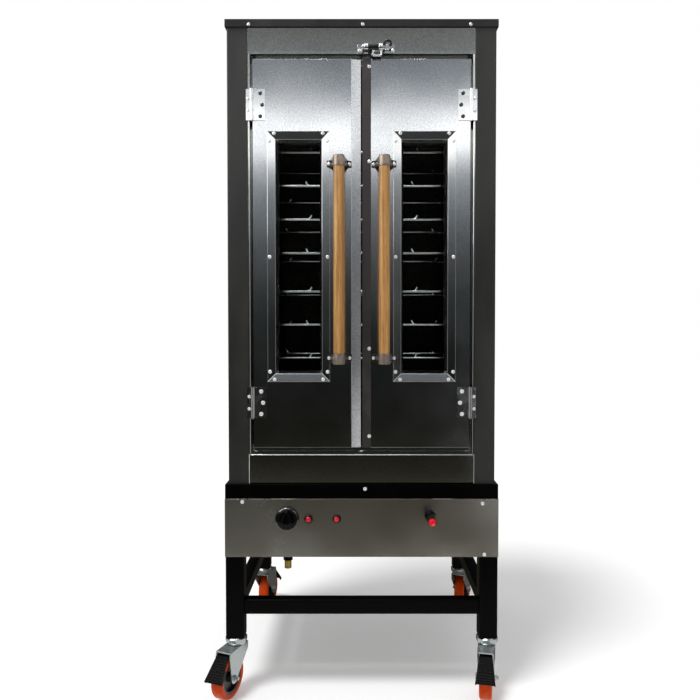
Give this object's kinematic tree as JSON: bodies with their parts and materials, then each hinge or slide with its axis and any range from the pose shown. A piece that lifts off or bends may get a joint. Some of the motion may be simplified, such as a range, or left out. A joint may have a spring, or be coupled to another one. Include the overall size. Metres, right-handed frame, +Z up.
{
  "type": "convection oven",
  "caption": "Tall gas convection oven on a wheeled stand, with two hinged window doors, wooden handles, wire racks, a control panel below and braked swivel casters.",
  "frame": {"origin": "on the floor under the middle of the stand", "axes": "+X to the right as seen from the front, +Y from the doors to the back, +Z up"},
  "size_m": [0.7318, 0.6822, 1.612],
  "materials": {
    "black_paint": "satin black powder coat",
    "cap_paint": "satin black powder coat",
    "stand_paint": "satin black powder coat",
    "frame_steel": "brushed",
    "door_steel": "brushed",
    "trim_steel": "brushed",
    "liner_steel": "dull",
    "panel_steel": "brushed",
    "rack_wire": "bright",
    "wool": "mineral wool",
    "aluminised": "dull",
    "motor_paint": "satin",
    "burner_steel": "dark scaled steel",
    "valve_metal": "die cast",
    "inlet_brass": "turned",
    "knob_plastic": "gloss",
    "lamp_red": "translucent red",
    "igniter_black": "satin",
    "button_red": "gloss",
    "latch_chrome": "polished",
    "lever_black": "satin",
    "hinge_zinc": "zinc plated",
    "screw_zinc": "bright zinc",
    "glass": "clear, dark cavity behind",
    "handle_sleeve": "worn bronze brown",
    "handle_wood": "varnished",
    "strip_steel": "dark reflecting",
    "caster_zinc": "zinc plated",
    "hub_plastic": "satin",
    "tyre_orange": "cast polyurethane",
    "pedal_plastic": "satin"
  },
  "bodies": {
    "cabinet": {"top_cap": "cap_paint", "left_side_panel": "black_paint", "right_side_panel": "black_paint", "back_panel": "black_paint", "front_frame": "frame_steel", "base_frame": "stand_paint", "stand_legs": "stand_paint", "stand_stretchers": "stand_paint", "control_panel": "panel_steel", "oven_liner": "liner_steel", "insulation": "wool", "rack_rails": "liner_steel", "wire_racks": "rack_wire", "fan_baffle": "liner_steel", "fan_motor": "motor_paint", "burner": "burner_steel", "gas_valve": "valve_metal", "gas_pipe": "inlet_brass", "pilot_lamps": "lamp_red", "igniter_body": "igniter_black", "latch_base": "latch_chrome", "hinge_frame_leaves": "hinge_zinc", "cabinet_screws": "screw_zinc"},
    "fan": {"fan_wheel": "aluminised"},
    "knob": {"control_knob": "knob_plastic"},
    "button": {"igniter_button": "button_red"},
    "latch": {"latch_lever": "lever_black"},
    "left_door": {"left_door_skin": "door_steel", "left_door_liner": "liner_steel", "left_window_trim": "trim_steel", "left_window_glass": "glass", "left_handle_brackets": "handle_sleeve", "left_handle_grip": "handle_wood", "left_hinge_leaves": "hinge_zinc", "left_door_screws": "screw_zinc"},
    "right_door": {"right_door_skin": "door_steel", "right_door_liner": "liner_steel", "right_window_trim": "trim_steel", "right_window_glass": "glass", "right_handle_brackets": "handle_sleeve", "right_handle_grip": "handle_wood", "right_hinge_leaves": "hinge_zinc", "right_door_screws": "screw_zinc", "right_cover_strip": "strip_steel"},
    "front_left_caster": {"front_left_fork": "caster_zinc"},
    "front_left_wheel": {"front_left_hub": "hub_plastic", "front_left_tyre": "tyre_orange"},
    "front_left_brake": {"front_left_pedal": "pedal_plastic"},
    "front_right_caster": {"front_right_fork": "caster_zinc"},
    "front_right_wheel": {"front_right_hub": "hub_plastic", "front_right_tyre": "tyre_orange"},
    "front_right_brake": {"front_right_pedal": "pedal_plastic"},
    "rear_left_caster": {"rear_left_fork": "caster_zinc"},
    "rear_left_wheel": {"rear_left_hub": "hub_plastic", "rear_left_tyre": "tyre_orange"},
    "rear_left_brake": {"rear_left_pedal": "pedal_plastic"},
    "rear_right_caster": {"rear_right_fork": "caster_zinc"},
    "rear_right_wheel": {"rear_right_hub": "hub_plastic", "rear_right_tyre": "tyre_orange"},
    "rear_right_brake": {"rear_right_pedal": "pedal_plastic"}
  },
  "joints": [
    {"name": "left_door_hinge", "type": "hinge", "parent": "cabinet", "child": "left_door", "pos_m": [-0.2605, -0.25375, 1.0577], "axis": [0, 0, -1], "range_deg": [0, 175]},
    {"name": "right_door_hinge", "type": "hinge", "parent": "cabinet", "child": "right_door", "pos_m": [0.2605, -0.25375, 1.0577], "axis": [0, 0, 1], "range_deg": [0, 175]},
    {"name": "latch_turn", "type": "hinge", "parent": "cabinet", "child": "latch", "pos_m": [0.037, -0.2635, 1.543], "axis": [-1, 0, 0], "range_deg": [0, 50]},
    {"name": "gas_knob_turn", "type": "hinge", "parent": "cabinet", "child": "knob", "pos_m": [-0.1785, -0.26, 0.425], "axis": [0, -1, 0], "range_deg": [0, 180]},
    {"name": "igniter_press", "type": "slide", "parent": "cabinet", "child": "button", "axis": [0, 1, 0], "range_m": [0, 0.006], "stiffness_N_per_m": 400},
    {"name": "fan_spin", "type": "hinge", "parent": "cabinet", "child": "fan", "pos_m": [0, 0.2, 1.05575], "axis": [0, 1, 0], "continuous": true},
    {"name": "front_left_swivel", "type": "hinge", "parent": "cabinet", "child": "front_left_caster", "pos_m": [-0.3055, -0.2355, 0.12], "axis": [0, 0, 1], "continuous": true},
    {"name": "front_left_roll", "type": "hinge", "parent": "front_left_caster", "child": "front_left_wheel", "pos_m": [-0.32048, -0.27259, 0.05], "axis": [0.9272, -0.3746, 0], "continuous": true},
    {"name": "front_left_brake_lift", "type": "hinge", "parent": "front_left_caster", "child": "front_left_brake", "pos_m": [-0.31824, -0.26702, 0.1065], "axis": [-0.9272, 0.3746, 0], "range_deg": [0, 8]},
    {"name": "front_right_swivel", "type": "hinge", "parent": "cabinet", "child": "front_right_caster", "pos_m": [0.3055, -0.2355, 0.12], "axis": [0, 0, 1], "continuous": true},
    {"name": "front_right_roll", "type": "hinge", "parent": "front_right_caster", "child": "front_right_wheel", "pos_m": [0.29718, -0.27463, 0.05], "axis": [0.9781, -0.2079, 0], "continuous": true},
    {"name": "front_right_brake_lift", "type": "hinge", "parent": "front_right_caster", "child": "front_right_brake", "pos_m": [0.29843, -0.26876, 0.1065], "axis": [-0.9781, 0.2079, 0], "range_deg": [0, 8]},
    {"name": "rear_left_swivel", "type": "hinge", "parent": "cabinet", "child": "rear_left_caster", "pos_m": [-0.3055, 0.2355, 0.12], "axis": [0, 0, 1], "continuous": true},
    {"name": "rear_left_roll", "type": "hinge", "parent": "rear_left_caster", "child": "rear_left_wheel", "pos_m": [-0.29718, 0.27463, 0.05], "axis": [-0.9781, 0.2079, 0], "continuous": true},
    {"name": "rear_left_brake_lift", "type": "hinge", "parent": "rear_left_caster", "child": "rear_left_brake", "pos_m": [-0.29843, 0.26876, 0.1065], "axis": [0.9781, -0.2079, 0], "range_deg": [0, 8]},
    {"name": "rear_right_swivel", "type": "hinge", "parent": "cabinet", "child": "rear_right_caster", "pos_m": [0.3055, 0.2355, 0.12], "axis": [0, 0, 1], "continuous": true},
    {"name": "rear_right_roll", "type": "hinge", "parent": "rear_right_caster", "child": "rear_right_wheel", "pos_m": [0.32048, 0.27259, 0.05], "axis": [-0.9272, 0.3746, 0], "continuous": true},
    {"name": "rear_right_brake_lift", "type": "hinge", "parent": "rear_right_caster", "child": "rear_right_brake", "pos_m": [0.31824, 0.26702, 0.1065], "axis": [0.9272, -0.3746, 0], "range_deg": [0, 8]}
  ]
}
